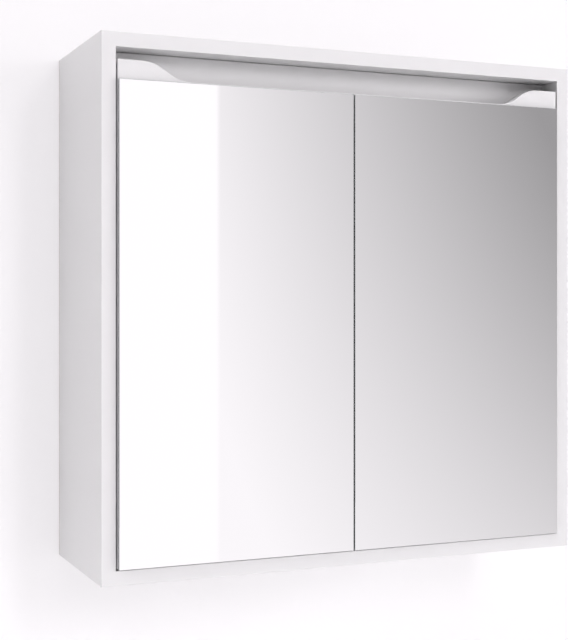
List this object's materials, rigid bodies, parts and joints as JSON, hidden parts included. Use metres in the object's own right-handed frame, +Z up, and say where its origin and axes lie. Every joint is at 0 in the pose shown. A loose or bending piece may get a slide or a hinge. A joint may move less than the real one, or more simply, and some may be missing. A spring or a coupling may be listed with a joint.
{
  "type": "mirror cabinet",
  "caption": "Wall-hung white mirror cabinet with inset mirrored doors, a curved finger grip above them, cup hinges and glass shelves inside.",
  "frame": {"origin": "on the wall plane, half way between the two wall screw holes of the hanging rail", "axes": "+X to the right seen from the front, +Y into the wall, +Z up; the doors face -Y"},
  "size_m": [0.6, 0.204, 0.6],
  "materials": {
    "white_board": "satin white lacquer on board",
    "white_door_lacquer": "satin white lacquer on shaped board",
    "white_back_board": "matt white faced hardboard",
    "raw_board": "plain board",
    "beech": "turned beech",
    "mirror_glass": "silvered float glass, ground edges",
    "mounting_tape": "foam tape",
    "shelf_glass": "clear float glass, ground front edge",
    "nickel_steel": "nickel plated pressed steel",
    "bright_steel": "polished plated steel",
    "zinc_screws": "zinc plated steel",
    "white_plastic": "moulded plastic",
    "clear_rubber": "soft clear bumper"
  },
  "bodies": {
    "carcass": {"back_panel": "white_back_board", "bottom_panel": "white_board", "carcass_dowels": "beech", "door_bumpers": "clear_rubber", "door_stop": "white_plastic", "door_stop_screws": "zinc_screws", "grip_rail": "white_board", "grip_rail_dowels": "beech", "hanging_rail": "raw_board", "hanging_rail_dowels": "beech", "left_arm_screws": "zinc_screws", "left_lower_hinge_arm": "nickel_steel", "left_lower_hinge_plate": "nickel_steel", "left_plate_screws": "zinc_screws", "left_side_panel": "white_board", "left_upper_hinge_arm": "nickel_steel", "left_upper_hinge_plate": "nickel_steel", "lower_glass_shelf": "shelf_glass", "lower_shelf_pins": "bright_steel", "right_arm_screws": "zinc_screws", "right_lower_hinge_arm": "nickel_steel", "right_lower_hinge_plate": "nickel_steel", "right_plate_screws": "zinc_screws", "right_side_panel": "white_board", "right_upper_hinge_arm": "nickel_steel", "right_upper_hinge_plate": "nickel_steel", "top_panel": "white_board", "upper_glass_shelf": "shelf_glass", "upper_shelf_pins": "bright_steel"},
    "left_door": {"left_cup_screws": "zinc_screws", "left_door_mirror": "mirror_glass", "left_door_panel": "white_door_lacquer", "left_lower_hinge_cup": "nickel_steel", "left_lower_hinge_pin": "bright_steel", "left_mirror_tape": "mounting_tape", "left_upper_hinge_cup": "nickel_steel", "left_upper_hinge_pin": "bright_steel"},
    "right_door": {"right_cup_screws": "zinc_screws", "right_door_mirror": "mirror_glass", "right_door_panel": "white_door_lacquer", "right_lower_hinge_cup": "nickel_steel", "right_lower_hinge_pin": "bright_steel", "right_mirror_tape": "mounting_tape", "right_upper_hinge_cup": "nickel_steel", "right_upper_hinge_pin": "bright_steel"}
  },
  "joints": [
    {"name": "left_door_swing", "type": "hinge", "parent": "carcass", "child": "left_door", "pos_m": [-0.258, -0.1935, 0], "axis": [0, 0, -1], "range_deg": [0, 95]},
    {"name": "right_door_swing", "type": "hinge", "parent": "carcass", "child": "right_door", "pos_m": [0.258, -0.1935, 0], "axis": [0, 0, 1], "range_deg": [0, 95]}
  ]
}
